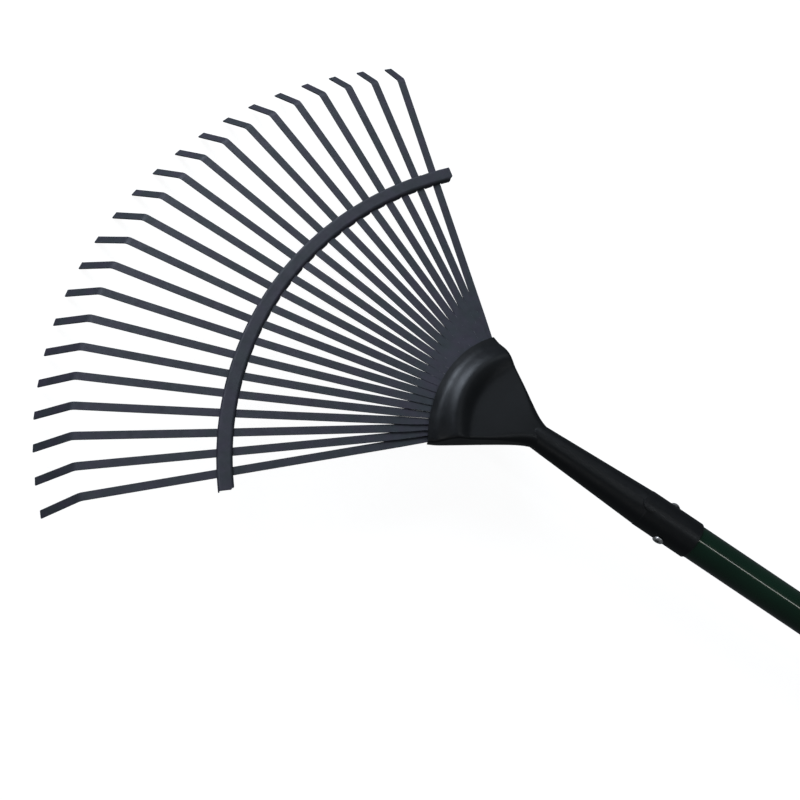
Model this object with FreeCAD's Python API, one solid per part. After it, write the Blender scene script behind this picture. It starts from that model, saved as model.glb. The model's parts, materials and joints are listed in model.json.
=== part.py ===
"""Leaf rake: a fan of flat spring-steel tines, a slotted cross brace, a moulded head and a tube pole.

The row frame has its origin at the centre of the hang hole on the pole's axis, +X along the pole
towards the tines, +Y across the fan and +Z up on the ridged side of the head. The tips point to -Z.

The fan is drawn in a frame of its own, the fan frame, and then tilted onto the pole: its origin is
the point that the middle tines fan out from, +X runs along the middle of the fan, and z = 0 is the
plane that holds the bends of all the tines.
"""
import FreeCAD, Part
import math
import os

from FreeCAD import Matrix, Placement, Rotation, Vector

# Pole: a thin steel tube whose end is swaged down to enter the head
POLE_RADIUS = 12.7
POLE_WALL = 0.8
POLE_LENGTH = 1219.0
POLE_START = 14.0
SOCKET_DEPTH = 45.0
SWAGE_RADIUS = 11.35
SWAGE_START = 5.5
SWAGE_LENGTH = 3.0
POLE_PLAY = 0.15

# End cap with the hang hole
CAP_RADIUS = 12.5
CAP_END = -13.0
CAP_PLUG_LENGTH = 22.0
CAP_EYE_THICKNESS = 14.0
CAP_SHOULDER = 8.0
HANG_HOLE_RADIUS = 4.0

# Neck and collar of the head, measured back along the pole's axis from the knee,
# where that axis crosses the fan plane
FAN_TILT = 7.4
KNEE_X_IN_FAN = 14.5
KNEE_TO_MOUTH = 148.5
COLLAR_LENGTH = 42.0
COLLAR_RADIUS = 13.9
NECK_END_RADIUS = 13.6
NECK_START_RADIUS = 9.35
NECK_START = 18.5
NOSE_LENGTH = 17.0
NOSE_STEPS = 8
CORE_END_RADIUS = 6.0
CORE_DEPTH = 118.0
DISC_RADIUS = 5.6
DISC_HEIGHT = 0.5

# Through rivet that holds the pole in the collar
RIVET_FROM_MOUTH = 22.0
RIVET_SHANK_RADIUS = 2.5
RIVET_BORE_RADIUS = 1.7
RIVET_HOLE_PLAY = 0.1
RIVET_ROLL_RADIUS = 4.0
RIVET_ROLL_HEIGHT = 1.6
RIVET_DOME_RADIUS = 4.3
RIVET_DOME_HEIGHT = 2.8

# Tines
TINE_COUNT = 22
TINE_WIDTH = 5.7
TINE_THICKNESS = 1.0
TINE_GAP = 0.08
TINE_LAP = 0.9
LAP_CLEARANCE = 0.05
EDGE_ROOT_HALF_WIDTH = 2.4
TIP_ANGLE = 38.8
TIP_LENGTH = 36.8
TIP_BEND_RADIUS = 7.0
HOOK_HEIGHT = 3.4
HOOK_RADIUS = 1.2
BRACE_KINK_RADIUS = 120.0

# Head housing
RIM_RADIUS = 86.5
RIM_CENTRE_X = -10.6
RIM_HALF_WIDTH = 48.3
HOUSING_BOTTOM = -2.7
HOUSING_WALL = 2.0
HOUSING_REAR_X = -11.0
HOUSING_REAR_HALF_WIDTH = 6.5
COVER_REAR_X = 24.0
COVER_THICKNESS = 1.9
COVER_PLAY = 0.15
RIDGE_DEPTH = 17.0
RIDGE_HALF_WIDTH = 10.8
RIDGE_HEIGHT = 5.9
RIDGE_FILLET = 0.3
SLOT_PLAY = 0.15
ROOT_STEP = 0.8
ROOT_DEPTH = 17.0
STRIP_FRONT_DEPTH = 11.5
STRIP_REAR_DEPTH = 15.5
STRIP_THICKNESS = 2.0

# Screws that hold the cover on, as (x, y) in the fan frame
SCREW_PLACES = [(45.0, 24.0), (45.0, -24.0), (31.0, 10.5), (31.0, -10.5)]
SCREW_HEAD_RADIUS = 2.6
SCREW_HEAD_HEIGHT = 1.3
SCREW_SHANK_RADIUS = 1.4
SCREW_LENGTH = 9.0
BOSS_RADIUS = 3.2

# Cross brace: a channel with its web on top and a comb of slots in each flange
BRACE_CENTRE_X = -24.6
BRACE_OUTER_RADIUS = 242.1
BRACE_WIDTH = 11.0
BRACE_DEPTH = 4.4
BRACE_THICKNESS = 1.0
BRACE_TOP = 3.35
BRACE_HALF_ANGLE = 39.9
BRACE_BEND_RADIUS = 1.6
BRACE_SLOT_PLAY = 0.35
TOOTH_CHAMFER = 1.1
BRACE_CORNER_CUT = (2.2, 3.0)

TALL = 80.0
X_AXIS, Y_AXIS, Z_AXIS = Vector(1, 0, 0), Vector(0, 1, 0), Vector(0, 0, 1)

MOUTH_X = POLE_START + POLE_LENGTH - SOCKET_DEPTH
KNEE_X = MOUTH_X + KNEE_TO_MOUTH


# ---------------------------------------------------------------- the fan's layout

class Tine:
    """Where one tine runs. share is +1 on the outer tine at +Y and -1 on the outer tine at -Y."""

    def __init__(self, share):
        self.share = share
        self.angle = math.radians(41.65 * share + 1.64 * share ** 3)
        self.along = Vector(math.cos(self.angle), math.sin(self.angle), 0)
        self.start_x = 15.1 * share ** 2
        self.reach = 323.6 - 23.0 * share ** 2
        self.arch = max(1.0 - share ** 2, 0.0)

    def height(self, distance):
        """Height of the tine's middle surface: arched at the head, nearly flat at the brace."""
        rim, brace = 0.25 * self.reach, self.brace_distance()
        rim_height, brace_height = 8.0 * self.arch, 1.3 * self.arch
        if distance > brace:
            return brace_height * (self.reach - distance) / (self.reach - brace)
        return brace_height + (rim_height - brace_height) * (brace - distance) / (brace - rim)

    def point(self, distance):
        """The point of the tine's middle line that lies distance out from where the tine starts."""
        return Vector(self.start_x, 0, self.height(distance)) + self.along * distance

    def distance_to_circle(self, centre_x, radius):
        offset = self.start_x - centre_x
        cosine = math.cos(self.angle)
        return -offset * cosine + math.sqrt(radius ** 2 - (offset * math.sin(self.angle)) ** 2)

    def brace_distance(self):
        return self.distance_to_circle(BRACE_CENTRE_X, BRACE_OUTER_RADIUS - BRACE_WIDTH / 2)

    def root_distance(self):
        return self.distance_to_circle(RIM_CENTRE_X, RIM_RADIUS - ROOT_DEPTH)

    def room_beside(self, other, distance):
        """Distance in plan from this tine's line to its neighbour's."""
        here = Vector(self.start_x - other.start_x, 0, 0) + self.along * distance
        return abs(here.cross(other.along).z)

    def to_fan(self, shape):
        """Turn a shape drawn along +X into this tine's place in the fan."""
        shape.rotate(Vector(), Z_AXIS, math.degrees(self.angle))
        shape.translate(Vector(self.start_x, 0, 0))
        return shape


def tine_share(number):
    middle = (TINE_COUNT - 1) / 2
    return (middle - number) / middle


TINES = [Tine(tine_share(number)) for number in range(TINE_COUNT)]


def to_row(shape):
    """Move a shape from the fan frame to the row frame, tilting the fan down from the pole."""
    shape = shape.copy()
    knee_in_fan = Vector(KNEE_X_IN_FAN, 0, 0)
    shape.rotate(knee_in_fan, Y_AXIS, FAN_TILT)
    shape.translate(Vector(KNEE_X, 0, 0) - knee_in_fan)
    return shape


# ---------------------------------------------------------------- general shapes

def box(low, high):
    return Part.makeBox(high[0] - low[0], high[1] - low[1], high[2] - low[2], Vector(*low))


def prism(points, low, high):
    """A vertical prism on a plan outline given as (x, y) points."""
    corners = [Vector(x, y, low) for x, y in points]
    wire = Part.makePolygon(corners + corners[:1])
    return Part.Face(wire).extrude(Z_AXIS * (high - low))


def turned(profile):
    """A solid turned about the X axis from (x, radius) points."""
    corners = [Vector(x, 0, radius) for x, radius in profile]
    wire = Part.makePolygon(corners + corners[:1])
    return Part.Face(wire).revolve(Vector(), X_AXIS, 360)


def ring_prism(inner_depth, outer_depth, low=-TALL, high=TALL):
    """A ring concentric with the rim, between two depths behind the rim."""
    centre = Vector(RIM_CENTRE_X, 0, low)
    outer = Part.makeCylinder(RIM_RADIUS - outer_depth, high - low, centre)
    inner = Part.makeCylinder(RIM_RADIUS - inner_depth, high - low, centre)
    return outer.cut(inner)


def rounded_wire(points, radii):
    """A path through points with a tangent arc of the given radius at each inner point."""
    edges = []
    start = points[0]
    for before, corner, after, radius in zip(points, points[1:], points[2:], radii):
        to_before = (before - corner).normalize()
        to_after = (after - corner).normalize()
        half = to_before.getAngle(to_after) / 2
        setback = radius / math.tan(half)
        bisector = (to_before + to_after).normalize()
        middle = corner + bisector * (radius / math.sin(half) - radius)
        first, last = corner + to_before * setback, corner + to_after * setback
        edges.append(Part.LineSegment(start, first).toShape())
        edges.append(Part.Arc(first, middle, last).toShape())
        start = last
    edges.append(Part.LineSegment(start, points[-1]).toShape())
    return edges


def strip_side(points, radii, offset):
    """One side of a bent strip: the middle line moved sideways by offset, in the XZ plane."""
    normals = [Vector(-(b - a).z, 0, (b - a).x).normalize() for a, b in zip(points, points[1:])]
    moved = [points[0] + normals[0] * offset]
    for corner, before, after in zip(points[1:], normals, normals[1:]):
        moved.append(corner + (before + after) * (offset / (1 + before.dot(after))))
    moved.append(points[-1] + normals[-1] * offset)
    side_radii = []
    for before, after, radius in zip(normals, normals[1:], radii):
        turns_up = before.cross(after).y < 0
        side_radii.append(radius - offset if turns_up else radius + offset)
    return moved, rounded_wire(moved, side_radii)


def bent_strip(points, radii, thickness, width):
    """A strip of sheet metal bent along a line in the XZ plane, centred on y = 0."""
    upper, upper_edges = strip_side(points, radii, thickness / 2)
    lower, lower_edges = strip_side(points, radii, -thickness / 2)
    ends = [Part.LineSegment(upper[0], lower[0]).toShape(), Part.LineSegment(upper[-1], lower[-1]).toShape()]
    wire = Part.Wire(Part.__sortEdges__(upper_edges + lower_edges + ends))
    solid = Part.Face(wire).extrude(Y_AXIS * width)
    solid.translate(Y_AXIS * (-width / 2))
    return solid


# ---------------------------------------------------------------- tines and brace

def full_width_distance(tine, neighbour):
    """How far out two neighbouring tines have their full width.

    The outer tines step down by more than their thickness, so the lower of two laps under the other.
    """
    root = tine.root_distance()
    room_at_root = tine.room_beside(neighbour, root)
    growth = (tine.room_beside(neighbour, tine.reach) - room_at_root) / (tine.reach - root)
    parting = root + (TINE_WIDTH - room_at_root) / growth
    step = abs(tine.height(parting) - neighbour.height(parting))
    gap = -TINE_LAP if step > TINE_THICKNESS + LAP_CLEARANCE else TINE_GAP
    return parting + gap / growth


def side_taper(number, side):
    """One side of a tine's plan: half its width at the root, and where it reaches its full width.

    The roots narrow because the tines crowd together there; an outer tine narrows less on its
    free side.
    """
    tine, root = TINES[number], root_end(TINES[number])
    if 0 <= number - side < TINE_COUNT:
        neighbour = TINES[number - side]
        return (tine.room_beside(neighbour, root) - TINE_GAP) / 2, full_width_distance(tine, neighbour)
    return EDGE_ROOT_HALF_WIDTH, full_width_distance(tine, TINES[number + side])


def root_end(tine):
    return tine.root_distance() - TINE_THICKNESS


def tine_outline(number):
    """The tine's plan outline, drawn along +X, tapered towards the root on both sides."""
    tine, half = TINES[number], TINE_WIDTH / 2
    root, tip = root_end(tine), tine.reach + TIP_LENGTH
    plus_half, plus_end = side_taper(number, 1)
    minus_half, minus_end = side_taper(number, -1)
    return [(root, plus_half), (plus_end, half), (tip, half), (tip, -half),
            (minus_end, -half), (root, -minus_half)]


def make_tine(number):
    tine = TINES[number]
    root, brace = tine.root_distance(), tine.brace_distance()
    root_height = tine.height(root)
    tip_angle = math.radians(TIP_ANGLE)
    path = [Vector(root, 0, root_height + HOOK_HEIGHT), Vector(root, 0, root_height),
            Vector(brace, 0, tine.height(brace)), Vector(tine.reach, 0, 0),
            Vector(tine.reach + TIP_LENGTH * math.cos(tip_angle), 0, -TIP_LENGTH * math.sin(tip_angle))]
    radii = [HOOK_RADIUS, BRACE_KINK_RADIUS, TIP_BEND_RADIUS]
    if tine.arch < 0.01:
        del path[2], radii[1]
    strip = bent_strip(path, radii, TINE_THICKNESS, TINE_WIDTH)
    outline = prism(tine_outline(number), -TALL, TALL)
    return tine.to_fan(strip.common(outline))


def brace_slot(tine):
    """The cutter for one slot through both flanges, open at the bottom with chamfered teeth."""
    distance = tine.brace_distance()
    half = TINE_WIDTH / 2 + BRACE_SLOT_PLAY
    bottom = BRACE_TOP - BRACE_DEPTH
    top = tine.height(distance - BRACE_WIDTH / 2) + TINE_THICKNESS / 2 + SLOT_PLAY
    mouth = half + TOOTH_CHAMFER
    outline = [(-half, top), (half, top), (half, bottom + TOOTH_CHAMFER), (mouth, bottom),
               (mouth, bottom - 1), (-mouth, bottom - 1), (-mouth, bottom), (-half, bottom + TOOTH_CHAMFER)]
    corners = [Vector(distance - BRACE_WIDTH, y, z) for y, z in outline]
    face = Part.Face(Part.makePolygon(corners + corners[:1]))
    return tine.to_fan(face.extrude(X_AXIS * 2 * BRACE_WIDTH))


def brace_corner(side):
    """The cutter that takes off the inner corner at one end of the brace."""
    back, run = BRACE_CORNER_CUT
    inner = BRACE_OUTER_RADIUS - BRACE_WIDTH
    points = [(inner - 1, -run - 1), (inner - 1, 1), (inner + back + 1, 1), (inner + back, 0), (inner, -run)]
    cutter = prism([(x, side * y) for x, y in points], -TALL, TALL)
    cutter.rotate(Vector(), Z_AXIS, side * BRACE_HALF_ANGLE)
    cutter.translate(Vector(BRACE_CENTRE_X, 0, 0))
    return cutter


def make_cross_brace():
    inner, outer = BRACE_OUTER_RADIUS - BRACE_WIDTH, BRACE_OUTER_RADIUS
    bottom, half = BRACE_TOP - BRACE_DEPTH, BRACE_THICKNESS / 2
    middle = [Vector(inner + half, 0, bottom), Vector(inner + half, 0, BRACE_TOP - half),
              Vector(outer - half, 0, BRACE_TOP - half), Vector(outer - half, 0, bottom)]
    left, left_edges = strip_side(middle, [BRACE_BEND_RADIUS] * 2, half)
    right, right_edges = strip_side(middle, [BRACE_BEND_RADIUS] * 2, -half)
    ends = [Part.LineSegment(left[0], right[0]).toShape(), Part.LineSegment(left[-1], right[-1]).toShape()]
    face = Part.Face(Part.Wire(Part.__sortEdges__(left_edges + right_edges + ends)))
    face.rotate(Vector(), Z_AXIS, -BRACE_HALF_ANGLE)
    channel = face.revolve(Vector(), Z_AXIS, 2 * BRACE_HALF_ANGLE)
    channel.translate(Vector(BRACE_CENTRE_X, 0, 0))
    cutters = [brace_slot(tine) for tine in TINES] + [brace_corner(1), brace_corner(-1)]
    return channel.cut(cutters)


# ---------------------------------------------------------------- housing surfaces

def smooth_step(value, low, high):
    share = min(max((value - low) / (high - low), 0.0), 1.0)
    return share * share * (3 - 2 * share)


def rim_x(y):
    return RIM_CENTRE_X + math.sqrt(RIM_RADIUS ** 2 - y ** 2)


CORNER_X = rim_x(RIM_HALF_WIDTH)


def soft_max(first, second, blend):
    """The larger of two values, with a rounded changeover."""
    return (first + second + math.sqrt((first - second) ** 2 + blend ** 2)) / 2


def side_half_width(x):
    """Half the housing's width: a curve out of the neck, a straight flank, then a shallower rim."""
    flank = 14.6 + 0.69 * (x - 11.0)
    neck = HOUSING_REAR_HALF_WIDTH + 0.06 * (x - HOUSING_REAR_X)
    rim = RIM_HALF_WIDTH - 0.45 * (CORNER_X - x)
    return -soft_max(-soft_max(neck, flank, 6.0), -rim, 0.8)


def edge_radius(x):
    """Rounding of the top edges: small at the rim, growing until the neck is round."""
    return 1.8 + 5.0 * (1 - smooth_step(x, -6.0, 28.0))


def housing_top(x, y):
    """Height of the housing's upper surface: a flat fan panel, then a crease, a round ridge and the rim lip."""
    depth = RIM_RADIUS - math.hypot(x - RIM_CENTRE_X, y)
    across = y / RIM_HALF_WIDTH
    lip = 3.4 + 7.6 * (1 - across ** 2)
    panel = 7.0 + 0.083 * x - (1 - smooth_step(x, -10.0, 14.0))
    offset = min(max((depth - RIDGE_DEPTH) / RIDGE_HALF_WIDTH, -2.0), 2.0)
    base = lip + (panel - lip) * smooth_step(offset, -1.3, 1.3)
    swell = soft_max(math.cos(math.pi / 2 * offset), 0.0, RIDGE_FILLET)
    return base + RIDGE_HEIGHT * (1 - 0.5 * across ** 2) * swell


def rounded_top(x, y, half_width, inset):
    """The upper surface, rolled down towards the flanks, and inset by a wall thickness."""
    radius = edge_radius(x) - inset / 2
    from_edge = half_width - inset - abs(y)
    drop = 0.0
    if from_edge < radius:
        drop = radius - math.sqrt(max(radius ** 2 - (radius - from_edge) ** 2, 0.0))
    return housing_top(x, y) - inset - drop


def housing_face(start_x, inset):
    """The upper surface as one spline face between the flanks and the rim, inset by a wall."""
    rows, columns = 90, 33
    grid = []
    for row in range(rows):
        share = row / (rows - 1)
        flank_x = start_x + (CORNER_X - inset - start_x) * share
        half_width = side_half_width(flank_x)
        bow = smooth_step(share, 0.0, 0.5)
        line = []
        for column in range(columns):
            y = (half_width - inset) * math.sin(math.pi * (column / (columns - 1) - 0.5))
            x = flank_x + bow * (rim_x(y * RIM_HALF_WIDTH / (half_width - inset)) - CORNER_X)
            line.append(Vector(x, y, rounded_top(x, y, half_width, inset)))
        grid.append(line)
    surface = Part.BSplineSurface()
    surface.interpolate(grid)
    return surface.toShape()


def root_face(side, lift=0.0):
    """An arched surface that clears all the roots: above them for side 1, below them for side -1.

    The flat roots stand in steps along the arch, so the clearance grows towards both ends.
    """
    shares = [1.3 * (2 * step / 40 - 1) for step in range(41)]
    curves = []
    for distance in (20.0, 120.0):
        points = []
        for share in shares:
            clearance = TINE_THICKNESS / 2 + SLOT_PLAY + ROOT_STEP * math.sqrt(share ** 2 + 0.02)
            points.append(Tine(share).point(distance) + Z_AXIS * (side * clearance + lift))
        curve = Part.BSplineCurve()
        curve.interpolate(Points=points, Parameters=shares)
        curves.append(curve.toShape())
    return Part.makeRuledSurface(curves[0], curves[1])


def below(face):
    return face.extrude(Z_AXIS * -TALL)


def fan_sector(side_gap):
    """The plan area that the roots cover, side_gap wider on each side than the outer tines."""
    tine = TINES[0]
    across = Vector(-tine.along.y, tine.along.x, 0)
    start = tine.point(tine.root_distance() - 2) + across * (EDGE_ROOT_HALF_WIDTH + side_gap)
    end = tine.point(tine.reach / 3) + across * (TINE_WIDTH / 2 + side_gap)
    return prism([(start.x, start.y), (end.x, end.y), (end.x, -end.y), (start.x, -start.y)], -TALL, TALL)


# ---------------------------------------------------------------- head

def make_housing():
    """The fan-shaped half of the head shell, hollow and open at the front and underneath."""
    body = below(housing_face(HOUSING_REAR_X, 0.0))
    body = body.common(box((-50, -80, HOUSING_BOTTOM), (120, 80, TALL)))
    hollow = below(housing_face(COVER_REAR_X - HOUSING_WALL, HOUSING_WALL))
    body = body.cut(hollow)
    mouth = fan_sector(COVER_PLAY).common(below(root_face(1)))
    mouth = mouth.common(box((COVER_REAR_X + 10, -80, -TALL), (120, 80, TALL)))
    body = body.cut(mouth)
    for x, y in SCREW_PLACES:
        foot = HOUSING_BOTTOM + COVER_THICKNESS
        roof = min(housing_top(x + side, y) for side in (-BOSS_RADIUS, 0, BOSS_RADIUS))
        boss = Part.makeCylinder(BOSS_RADIUS, roof - 1 - foot, Vector(x, y, foot))
        hole = Part.makeCylinder(SCREW_SHANK_RADIUS, SCREW_LENGTH - COVER_THICKNESS, Vector(x, y, foot))
        body = body.fuse(boss).cut(hole)
    return body


def make_neck():
    """Neck, collar and socket, turned about the pole's axis in the row frame."""
    neck_start, collar_start = KNEE_X - NECK_START, MOUTH_X + COLLAR_LENGTH
    nose = []
    for step in range(NOSE_STEPS + 1):
        turn = math.pi / 2 * step / NOSE_STEPS
        nose.append((neck_start + NOSE_LENGTH * math.sin(turn), NECK_START_RADIUS * math.cos(turn)))
    outside = turned([(MOUTH_X, 0), (MOUTH_X, COLLAR_RADIUS - 0.4), (MOUTH_X + 0.6, COLLAR_RADIUS),
                      (collar_start, COLLAR_RADIUS - 0.05), (collar_start + 0.6, NECK_END_RADIUS)]
                     + nose)
    disc = Part.makeCylinder(DISC_RADIUS, COLLAR_RADIUS + DISC_HEIGHT, Vector(collar_start, 0, 0))
    reach = 2 * DISC_RADIUS
    crown = Part.makeCylinder(COLLAR_RADIUS + DISC_HEIGHT, 2 * reach, Vector(collar_start - reach, 0, 0), X_AXIS)
    return outside.fuse(disc.common(crown))


def make_socket():
    """The cutter for the pole's socket and for the core that keeps the neck's wall even."""
    wide = POLE_RADIUS + POLE_PLAY
    narrow = SWAGE_RADIUS + POLE_PLAY
    shoulder = MOUTH_X + SWAGE_START + 0.4
    return turned([(MOUTH_X - 1, 0), (MOUTH_X - 1, wide), (shoulder, wide),
                   (shoulder + SWAGE_LENGTH, narrow), (MOUTH_X + SOCKET_DEPTH + 0.5, narrow),
                   (MOUTH_X + CORE_DEPTH, CORE_END_RADIUS), (MOUTH_X + CORE_DEPTH, 0)])


def rivet_hole():
    centre = Vector(MOUTH_X + RIVET_FROM_MOUTH, -TALL / 2, 0)
    return Part.makeCylinder(RIVET_SHANK_RADIUS + RIVET_HOLE_PLAY, TALL, centre, Y_AXIS)


def make_head_shell():
    shell = to_row(make_housing()).fuse(make_neck())
    return shell.cut([make_socket(), rivet_hole()]).removeSplitter()


def cover_outline(play):
    """The cover's plan: it fits between the flanks and reaches past the rim."""
    rear = COVER_REAR_X - HOUSING_WALL + play
    places = [rear + (CORNER_X + 1 - rear) * step / 12 for step in range(13)]
    flank = [(x, side_half_width(x) - HOUSING_WALL - play) for x in places]
    flank.append((TALL, flank[-1][1]))
    return flank + [(x, -y) for x, y in flank[::-1]]


def make_head_cover():
    """The underside cover, with an arched wall under the slot and an arched rib under the roots."""
    bottom = HOUSING_BOTTOM
    area = prism(cover_outline(COVER_PLAY), bottom, TALL).common(
        Part.makeCylinder(RIM_RADIUS, 2 * TALL, Vector(RIM_CENTRE_X, 0, -TALL)))
    plate = area.common(box((-50, -80, bottom), (120, 80, bottom + COVER_THICKNESS)))
    under_roots = below(root_face(-1))
    wall = area.common(ring_prism(2.6, 0.0)).common(under_roots)
    rib = area.common(ring_prism(STRIP_REAR_DEPTH - 0.5, STRIP_FRONT_DEPTH + 0.5)).common(under_roots)
    cover = plate.fuse([wall, rib])
    for x, y in SCREW_PLACES:
        cover = cover.cut(Part.makeCylinder(SCREW_SHANK_RADIUS + 0.3, TALL, Vector(x, y, bottom - 1)))
        sink = Part.makeCylinder(SCREW_HEAD_RADIUS + 0.3, SCREW_HEAD_HEIGHT, Vector(x, y, bottom))
        cover = cover.cut(sink)
    return cover.removeSplitter()


def make_anchor_strip():
    """The steel strip that lies over all the roots and holds them by their upturned ends."""
    ring = ring_prism(STRIP_REAR_DEPTH, STRIP_FRONT_DEPTH).common(fan_sector(0.0))
    strip = ring.common(below(root_face(1, STRIP_THICKNESS)))
    return strip.cut(below(root_face(1)))


def make_cover_screw(place):
    """One self-tapping screw with a low round head sunk in the cover and a slot across it."""
    x, y = place
    head_top = HOUSING_BOTTOM + SCREW_HEAD_HEIGHT
    head = Part.makeCylinder(SCREW_HEAD_RADIUS, SCREW_HEAD_HEIGHT, Vector(x, y, HOUSING_BOTTOM))
    shank = Part.makeCylinder(SCREW_SHANK_RADIUS - 0.02, SCREW_LENGTH - SCREW_HEAD_HEIGHT, Vector(x, y, head_top))
    slot = box((x - SCREW_HEAD_RADIUS, y - 0.35, HOUSING_BOTTOM - 0.1),
               (x + SCREW_HEAD_RADIUS, y + 0.35, HOUSING_BOTTOM + 0.6))
    return head.fuse(shank).cut(slot)


def make_head_screws():
    return Part.makeCompound([make_cover_screw(place) for place in SCREW_PLACES])


# ---------------------------------------------------------------- pole, rivet and end cap

def make_pole():
    swage = MOUTH_X + SWAGE_START
    end = POLE_START + POLE_LENGTH
    outer = [(POLE_START, POLE_RADIUS), (swage, POLE_RADIUS), (swage + SWAGE_LENGTH, SWAGE_RADIUS),
             (end, SWAGE_RADIUS)]
    inner = [(x, radius - POLE_WALL) for x, radius in outer[::-1]]
    return turned(outer + inner).cut(rivet_hole())


def make_socket_rivet():
    """A tubular rivet across the collar: a domed head at -Y and a rolled, open end at +Y."""
    seat = COLLAR_RADIUS + 0.05
    dome = RIVET_DOME_HEIGHT
    ball_radius = (RIVET_DOME_RADIUS ** 2 + dome ** 2) / (2 * dome)
    ball = Part.makeSphere(ball_radius, Vector(0, -seat - dome + ball_radius, 0))
    head = ball.common(box((-20, -seat - dome, -20), (20, -seat, 20)))
    shank = Part.makeCylinder(RIVET_SHANK_RADIUS, 2 * seat, Vector(0, -seat, 0), Y_AXIS)
    roll = Part.makeCylinder(RIVET_ROLL_RADIUS, RIVET_ROLL_HEIGHT, Vector(0, seat, 0), Y_AXIS)
    outer_edge = [edge for edge in roll.Edges if edge.BoundBox.YMin > seat + RIVET_ROLL_HEIGHT - 0.01
                  and edge.Closed]
    roll = roll.makeFillet(RIVET_ROLL_HEIGHT * 0.6, outer_edge)
    bore = Part.makeCylinder(RIVET_BORE_RADIUS, 2 * seat + TALL, Vector(0, 1 - seat, 0), Y_AXIS)
    rivet = head.fuse([shank, roll]).cut(bore).removeSplitter()
    rivet.translate(Vector(MOUTH_X + RIVET_FROM_MOUTH, 0, 0))
    return rivet


def make_pole_end_cap():
    """A pushed-in cap whose flattened end carries the hang hole."""
    plug_radius = POLE_RADIUS - POLE_WALL - 0.1
    cap = turned([(CAP_END, 0), (CAP_END, CAP_RADIUS), (POLE_START, CAP_RADIUS), (POLE_START, plug_radius),
                  (POLE_START + CAP_PLUG_LENGTH, plug_radius - 0.6), (POLE_START + CAP_PLUG_LENGTH, 0)])
    rim = [edge for edge in cap.Edges if edge.Closed and edge.BoundBox.XMax < CAP_END + 0.01]
    cap = cap.makeFillet(CAP_RADIUS * 0.6, rim)
    for side in (1, -1):
        flat = box((CAP_END - 1, CAP_EYE_THICKNESS / 2, -20), (CAP_SHOULDER, 20, 20))
        cap = cap.cut(flat if side > 0 else flat.mirror(Vector(), Y_AXIS))
    return cap.cut(Part.makeCylinder(HANG_HOLE_RADIUS, 2 * TALL, Vector(0, -TALL, 0), Y_AXIS))


# ---------------------------------------------------------------- the assembly

def build_nodes():
    nodes = {}
    for number in range(TINE_COUNT):
        nodes["tine_%02d" % (number + 1)] = to_row(make_tine(number))
    nodes["cross_brace"] = to_row(make_cross_brace())
    nodes["head_shell"] = make_head_shell()
    nodes["head_cover"] = to_row(make_head_cover())
    nodes["tine_anchor_strip"] = to_row(make_anchor_strip())
    nodes["head_screws"] = to_row(make_head_screws())
    nodes["pole"] = make_pole()
    nodes["socket_rivet"] = make_socket_rivet()
    nodes["pole_end_cap"] = make_pole_end_cap()
    return nodes


def main():
    os.makedirs("parts", exist_ok=True)
    for name, shape in build_nodes().items():
        print("%-18s valid %s, solids %d, volume %9.1f" % (
            name, shape.isValid(), len(shape.Solids), shape.Volume))
        shape.exportStep("parts/%s.step" % name)


main()
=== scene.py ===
"""The leaf rake's looks: finishes for its CAD nodes, a pale floor and dome, soft light and the camera.

Lengths are in metres in the row frame: the origin is the centre of the hang hole, +X runs along the
pole towards the tines, +Y across the fan and +Z up on the ridged side of the head.
"""

import json
import math

import bpy
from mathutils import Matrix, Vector


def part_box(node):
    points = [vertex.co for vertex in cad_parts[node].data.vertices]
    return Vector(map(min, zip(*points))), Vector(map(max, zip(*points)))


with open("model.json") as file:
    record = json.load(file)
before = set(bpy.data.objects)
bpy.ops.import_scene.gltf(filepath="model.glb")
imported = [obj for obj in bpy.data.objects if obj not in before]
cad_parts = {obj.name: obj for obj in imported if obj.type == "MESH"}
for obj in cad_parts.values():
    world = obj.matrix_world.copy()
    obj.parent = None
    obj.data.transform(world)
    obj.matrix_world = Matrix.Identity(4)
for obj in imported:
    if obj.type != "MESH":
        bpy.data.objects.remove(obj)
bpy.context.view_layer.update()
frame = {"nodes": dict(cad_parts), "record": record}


# ---------------------------------------------------------------- building a material

EDGE_BEGINS = 0.97  # cosine of the turn between the true and the eased normal
EDGE_IS_FULL = 0.72


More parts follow.
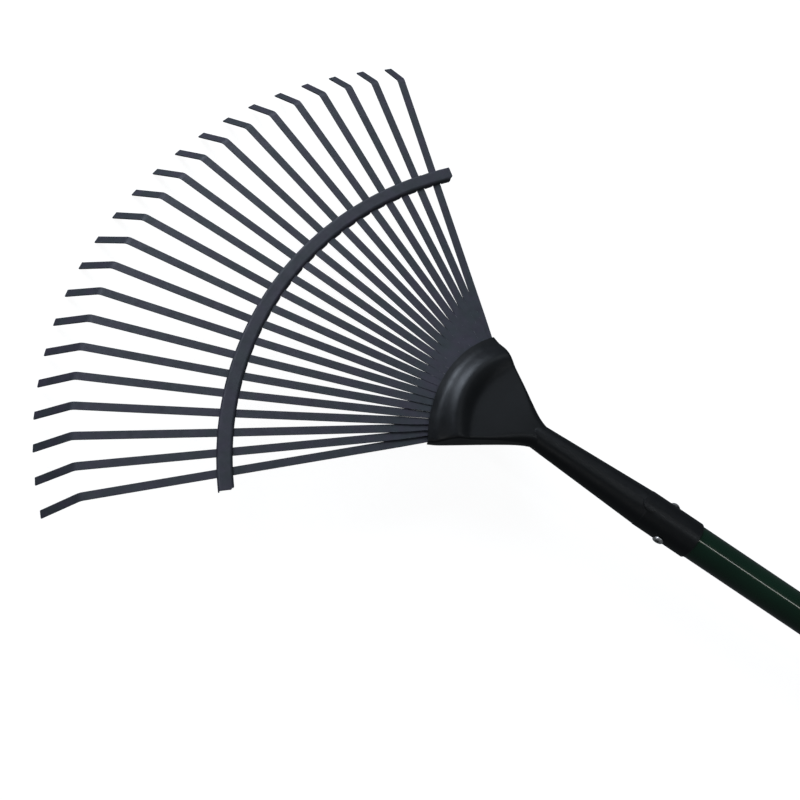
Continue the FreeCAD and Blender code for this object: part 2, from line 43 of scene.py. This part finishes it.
class Finish:
    """One material's node tree, written as calls that take sockets or plain values."""

    def __init__(self, name):
        self.material = bpy.data.materials.new(name)
        self.material.use_nodes = True
        self.nodes = self.material.node_tree.nodes
        self.links = self.material.node_tree.links
        self.shader = self.nodes["Principled BSDF"]
        self.place = self.node("ShaderNodeTexCoord").outputs["Object"]

    def node(self, kind, inputs=None, **settings):
        made = self.nodes.new(kind)
        for key, value in settings.items():
            setattr(made, key, value)
        for key, value in (inputs or {}).items():
            self.plug(made.inputs[key], value)
        return made

    def plug(self, socket, value):
        if isinstance(value, bpy.types.NodeSocket):
            self.links.new(value, socket)
        else:
            socket.default_value = value

    def set(self, **inputs):
        """Set the shader's own sockets, such as Base_Color or Roughness."""
        for key, value in inputs.items():
            self.plug(self.shader.inputs[key.replace("_", " ")], value)

    def math(self, operation, a, b):
        return self.node("ShaderNodeMath", {0: a, 1: b}, operation=operation).outputs[0]

    def noise(self, size, detail=2.0, rough=0.5, stretch=(1, 1, 1)):
        """Noise whose features are about size metres across, squeezed by stretch along X, Y and Z."""
        at = self.node("ShaderNodeMapping", {"Vector": self.place, "Scale": stretch})
        made = self.node("ShaderNodeTexNoise", {"Vector": at.outputs[0], "Scale": 1.0 / size,
                                                "Detail": detail, "Roughness": rough})
        return made.outputs["Fac"]

    def cells(self, size):
        """A node of rounded cells about size metres across."""
        return self.node("ShaderNodeTexVoronoi", {"Vector": self.place, "Scale": 1.0 / size})

    def remap(self, value, low, high, to_low=0.0, to_high=1.0):
        made = self.node("ShaderNodeMapRange", {"Value": value, "From Min": low, "From Max": high,
                                                "To Min": to_low, "To Max": to_high})
        return made.outputs["Result"]

    def blend(self, share, a, b):
        """Colour a where share is 0, colour b where it is 1."""
        made = self.node("ShaderNodeMix", data_type="RGBA")
        self.plug(made.inputs["Factor"], share)
        self.plug(made.inputs[6], a)
        self.plug(made.inputs[7], b)
        return made.outputs[2]

    def bump(self, height, depth, normal=None):
        """A normal for relief that is depth metres deep, on top of another normal if one is given."""
        made = self.node("ShaderNodeBump", {"Height": height, "Distance": depth, "Strength": 1.0})
        if normal is not None:
            self.plug(made.inputs["Normal"], normal)
        return made.outputs[0]

    def edges(self, width):
        """1 on edges and corners, falling to 0 about width metres away from them."""
        eased = self.node("ShaderNodeBevel", {"Radius": width}, samples=4).outputs[0]
        true = self.node("ShaderNodeNewGeometry").outputs["Normal"]
        same = self.node("ShaderNodeVectorMath", {0: eased, 1: true}, operation="DOT_PRODUCT")
        return self.remap(same.outputs["Value"], EDGE_BEGINS, EDGE_IS_FULL)


def rgb(red, green, blue):
    return (red, green, blue, 1.0)


# ---------------------------------------------------------------- the finishes

CHIPPED_STEEL = rgb(0.30, 0.30, 0.31)
GREEN_DEEP, GREEN_PALE = rgb(0.0028, 0.0160, 0.0090), rgb(0.0042, 0.0210, 0.0122)
STEEL_BRIGHT, STEEL_DULL = rgb(0.90, 0.89, 0.87), rgb(0.62, 0.61, 0.60)
ZINC_DARK, ZINC_PALE = rgb(0.42, 0.43, 0.45), rgb(0.56, 0.57, 0.59)


def moulded_plastic(name, colour, edge_wear_and_highlight, roughness):
    """Black moulded plastic: a fine spark-eroded grain, faint flow marks, and paler edges that are
    partly rubbed wear and partly a painted edge highlight.
    """
    f = Finish(name)
    darker, paler = (rgb(*[share * channel for channel in colour]) for share in (0.85, 1.15))
    flow = f.remap(f.noise(0.03, 3.0, stretch=(0.5, 1, 1)), 0.35, 0.65)
    # paler patches along the edges: partly rubbed wear, partly a painted highlight on the edges
    rubbed_and_lit_edge = f.math("MULTIPLY", f.edges(0.0009), f.remap(f.noise(0.004, 4.0, 0.65), 0.35, 0.7))
    f.set(Base_Color=f.blend(rubbed_and_lit_edge, f.blend(flow, darker, paler), rgb(*edge_wear_and_highlight)))
    scuffs = f.remap(f.noise(0.012, 5.0, 0.7), 0.4, 0.75)
    scuffed = f.remap(scuffs, 0, 1, roughness - 0.04, roughness + 0.08)
    f.set(Roughness=f.math("ADD", scuffed, f.math("MULTIPLY", rubbed_and_lit_edge, -0.08)))
    grain = f.math("ADD", f.cells(0.0006).outputs["Distance"], f.noise(0.0004, 2.0))
    f.set(Normal=f.bump(f.noise(0.02, 1.0), 0.0004, f.bump(grain, 0.000018)))
    return f.material


def spring_steel_enamel(name, teal, violet):
    """Slate grey enamel on rolled strip: teal and violet mottling, orange peel, bare steel on edges."""
    f = Finish(name)
    mottle = f.remap(f.noise(0.016, 4.0, 0.6), 0.38, 0.62)
    hue = f.blend(mottle, rgb(*teal), rgb(*violet))
    tone = f.remap(f.noise(0.007, 3.0, 0.6), 0.3, 0.7, 0.86, 1.14)
    shade = f.node("ShaderNodeVectorMath", {0: hue, "Scale": tone}, operation="SCALE").outputs[0]
    chips = f.math("MULTIPLY", f.edges(0.0006), f.remap(f.noise(0.003, 4.0, 0.7), 0.56, 0.62))
    f.set(Base_Color=f.blend(chips, shade, CHIPPED_STEEL), Metallic=f.math("MULTIPLY", chips, 0.8))
    f.set(Roughness=f.remap(f.noise(0.006, 4.0, 0.7), 0.3, 0.7, 0.50, 0.66))
    f.set(Normal=f.bump(f.noise(0.0011, 2.0), 0.00002))
    return f.material


def pole_gloss(name):
    """Very dark green gloss coating over steel tube, with slight orange peel and hair scratches."""
    f = Finish(name)
    shade = f.blend(f.remap(f.noise(0.05, 3.0), 0.3, 0.7), GREEN_DEEP, GREEN_PALE)
    f.set(Base_Color=shade, Coat_Weight=1.0, Coat_Roughness=0.03, Specular_IOR_Level=0.05)
    scratches = f.remap(f.noise(0.0009, 4.0, 0.7, stretch=(0.03, 1, 1)), 0.66, 0.72)
    clean = f.remap(f.noise(0.01, 3.0), 0.3, 0.7, 0.16, 0.24)
    f.set(Roughness=f.math("ADD", clean, f.math("MULTIPLY", scratches, 0.2)))
    f.set(Normal=f.bump(f.noise(0.0025, 1.0), 0.00003))
    return f.material


def rolled_steel(name):
    """Bright rivet steel with fine turning marks and small dull spots."""
    f = Finish(name)
    spots = f.remap(f.noise(0.0012, 3.0), 0.5, 0.65)
    f.set(Base_Color=f.blend(spots, STEEL_BRIGHT, STEEL_DULL), Metallic=1.0)
    f.set(Roughness=f.remap(spots, 0, 1, 0.35, 0.55))
    f.set(Normal=f.bump(f.noise(0.0003, 2.0, stretch=(1, 0.15, 1)), 0.00001))
    return f.material


def zinc_plate(name):
    """Zinc plating: a faint spangle of crystals that differ in shade and gloss."""
    f = Finish(name)
    crystal = f.node("ShaderNodeSeparateColor", {0: f.cells(0.0016).outputs["Color"]}).outputs[0]
    f.set(Base_Color=f.blend(crystal, ZINC_DARK, ZINC_PALE), Metallic=1.0)
    f.set(Roughness=f.remap(crystal, 0, 1, 0.3, 0.45), Normal=f.bump(f.noise(0.0006, 3.0), 0.00001))
    return f.material


FINISHES = {
    "tine_paint": spring_steel_enamel(
        "tine_enamel", teal=(0.030, 0.038, 0.046), violet=(0.040, 0.035, 0.055)),
    "brace_paint": spring_steel_enamel(
        "brace_enamel", teal=(0.031, 0.037, 0.044), violet=(0.039, 0.034, 0.052)),
    "head_plastic": moulded_plastic(
        "head_plastic", colour=(0.0033, 0.0041, 0.0056), edge_wear_and_highlight=(0.030, 0.032, 0.036), roughness=0.42),
    "cap_plastic": moulded_plastic(
        "cap_plastic", colour=(0.004, 0.0044, 0.005), edge_wear_and_highlight=(0.035, 0.036, 0.038), roughness=0.5),
    "pole_paint": pole_gloss("pole_green"),
    "rivet_steel": rolled_steel("rivet_steel"),
    "zinc_steel": zinc_plate("zinc_plate"),
}

for part in frame["record"]["subparts"]:
    mesh = frame["nodes"][part["node"]].data
    mesh.materials.clear()
    mesh.materials.append(FINISHES[part["material_slot"]])


# ---------------------------------------------------------------- floor and dome

FLOOR_WIDTH = 16.0
FLOOR_DROP = 0.0004  # how far the floor lies below the tips, so that the two never coincide
FLOOR_GREY, FLOOR_GLOW = 0.24, 0.93
DOME_RADIUS = 7.5
DOME_CENTRE = (1.0, 0, 0)
DOME_GREY, DOME_GLOW = 0.0, 0.96
PAPER_CLOUDING = 0.03


def lit_paper(name, grey, glow):
    """Faintly clouded paper that glows, so the object's shadow on it is faint."""
    f = Finish(name)
    darker, paler = (rgb(tone, tone, tone) for tone in (grey, grey + PAPER_CLOUDING))
    f.set(Base_Color=f.blend(f.noise(0.3, 3.0), darker, paler))
    f.set(Roughness=0.9, Emission_Color=rgb(1, 1, 1), Emission_Strength=glow)
    return f.material


def set_stage(piece, name, material):
    """Make a piece of the set, which the object's surfaces neither mirror nor pick up light from."""
    piece.name = name
    piece.visible_glossy = False
    piece.visible_diffuse = False
    piece.data.materials.append(material)


def make_floor():
    """A pale floor that the middle tips and the end of the pole rest on, inside a pale dome."""
    cap_low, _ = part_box("pole_end_cap")
    tip_low, tip_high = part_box("tine_11")
    lean = math.atan2(cap_low.z - tip_low.z, tip_high.x - cap_low.x)
    bpy.ops.mesh.primitive_plane_add(size=FLOOR_WIDTH)
    floor = bpy.context.object
    floor.rotation_euler = (0, lean, 0)
    floor.location = (tip_high.x, 0, tip_low.z - FLOOR_DROP)
    set_stage(floor, "floor", lit_paper("floor_paper", FLOOR_GREY, FLOOR_GLOW))
    bpy.ops.mesh.primitive_uv_sphere_add(
        radius=DOME_RADIUS, segments=64, ring_count=32, location=DOME_CENTRE)
    dome = bpy.context.object
    dome.visible_shadow = False
    set_stage(dome, "backdrop", lit_paper("backdrop_paper", DOME_GREY, DOME_GLOW))


# ---------------------------------------------------------------- light

WORLD_COLOUR = rgb(0.84, 0.93, 1.0)
WORLD_STRENGTH = 0.08
FAN = dict(aim=(1.40, 0.0, 0.0), distance=2.5)
POLE = dict(aim=(1.1, -0.05, 0.0), distance=2.4)
NEUTRAL = (1, 1, 1)
SKY_BLUE = (0.78, 0.87, 1.0)
PALE_BLUE = (0.84, 0.92, 1.0)
COLD_WHITE = (0.90, 0.96, 1.0)
PALE_YELLOW = (1.0, 1.0, 0.80)


def softbox(name, azimuth, elevation, size, power, colour, aim, distance, only=None):
    """A soft lamp, placed by the direction from aim to the lamp.

    The azimuth in degrees runs from +X towards +Y and the elevation rises from the XY plane. The size is
    in metres and the power in watts. A lamp with only lights nothing but the node of that name.
    """
    light = bpy.data.lights.new(name, "AREA")
    light.shape = "RECTANGLE"
    light.size, light.size_y = size
    light.energy = power
    light.color = colour
    turn, rise = math.radians(azimuth), math.radians(elevation)
    back = Vector((math.cos(rise) * math.cos(turn), math.cos(rise) * math.sin(turn), math.sin(rise)))
    lamp = bpy.data.objects.new(name, light)
    lamp.location = Vector(aim) + distance * back
    lamp.rotation_euler = back.to_track_quat("Z", "Y").to_euler()
    bpy.context.collection.objects.link(lamp)
    if only:
        lit = bpy.data.collections.new(name + "_lights_only")
        lit.objects.link(frame["nodes"][only])
        lamp.light_linking.receiver_collection = lit


def make_light():
    """A large key lamp beyond the fan's -Y corner, three weak fills, and two strips along the pole."""
    world = bpy.data.worlds.new("studio")
    bpy.context.scene.world = world
    world.use_nodes = True
    sky = world.node_tree.nodes["Background"].inputs
    sky["Color"].default_value = WORLD_COLOUR
    sky["Strength"].default_value = WORLD_STRENGTH
    softbox("key", -28, 30, (1.5, 1.9), 46, SKY_BLUE, **FAN)
    softbox("fill_front", 45, 15, (0.9, 0.9), 2.5, NEUTRAL, **FAN)
    softbox("fill_near", 90, 40, (0.9, 0.9), 1.5, NEUTRAL, **FAN)
    softbox("fill_far", -90, 50, (0.9, 1.4), 3.2, PALE_BLUE, **FAN)
    softbox("neck_strip", 180, 68, (0.12, 2.2), 4.5, COLD_WHITE, **POLE)
    softbox("pole_strip", 180, 68, (0.14, 2.2), 17, PALE_YELLOW, only="pole", **POLE)


# ---------------------------------------------------------------- camera

LENS_MM = 49.5
SENSOR_MM = 36.0
CAMERA_PLACE = (1.43165, 0.3269, 0.70078)
CAMERA_TURN = (18.45, -13.34, -148.562)  # degrees about X, Y and Z
NEAREST_SHOWN = 0.01


def make_camera():
    camera = bpy.data.cameras.new("camera")
    camera.lens = LENS_MM
    camera.sensor_width = SENSOR_MM
    camera.clip_start = NEAREST_SHOWN
    holder = bpy.data.objects.new("camera", camera)
    holder.location = CAMERA_PLACE
    holder.rotation_euler = [math.radians(angle) for angle in CAMERA_TURN]
    bpy.context.collection.objects.link(holder)
    bpy.context.scene.camera = holder
    bpy.context.scene.view_settings.view_transform = "Standard"


make_floor()
make_light()
make_camera()
